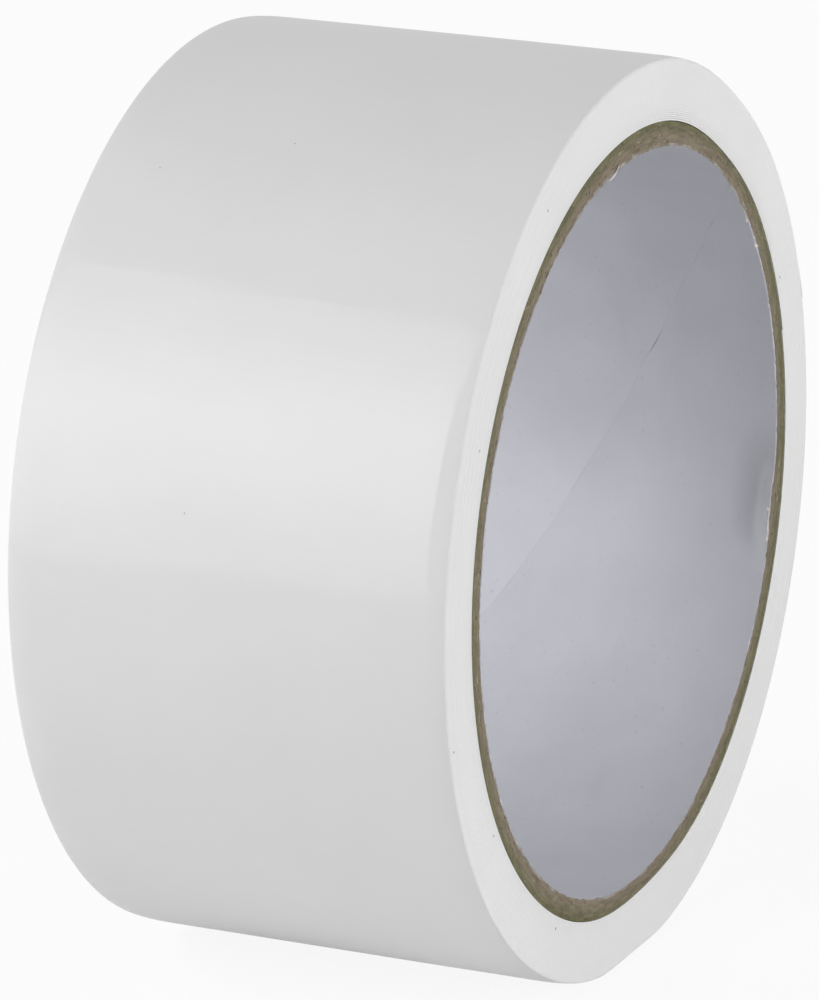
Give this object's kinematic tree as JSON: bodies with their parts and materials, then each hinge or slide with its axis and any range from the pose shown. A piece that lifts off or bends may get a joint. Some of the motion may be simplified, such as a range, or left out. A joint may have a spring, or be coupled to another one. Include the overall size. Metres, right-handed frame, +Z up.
{
  "type": "gaffer tape roll",
  "caption": "Roll of white cloth tape wound on a spiral-wound board core with a paper-lined bore, standing on its tread; the lead end peels back.",
  "frame": {"origin": "on the surface the roll stands on, under the middle of its width and its axis", "axes": "+X along the roll's axis, out of the side face that the picture shows; +Z up; +Y to the back, where the lead end lies"},
  "size_m": [0.048, 0.0963, 0.0959],
  "materials": {
    "tape_film": "satin",
    "core_board": "matte",
    "liner_paper": "matte"
  },
  "bodies": {
    "roll": {"core_liner": "liner_paper", "core_ply_1": "core_board", "core_ply_2": "core_board", "core_ply_3": "core_board", "core_ply_4": "core_board", "core_ply_5": "core_board", "tape_inner_turns": "tape_film", "tape_outer_turn": "tape_film"},
    "lead_end": {"tape_lead_end": "tape_film"}
  },
  "joints": [
    {"name": "lead_end_peel", "type": "hinge", "parent": "roll", "child": "lead_end", "pos_m": [0, 0.03065, 0.08497], "axis": [1, 0, 0], "range_deg": [0, 120]}
  ]
}
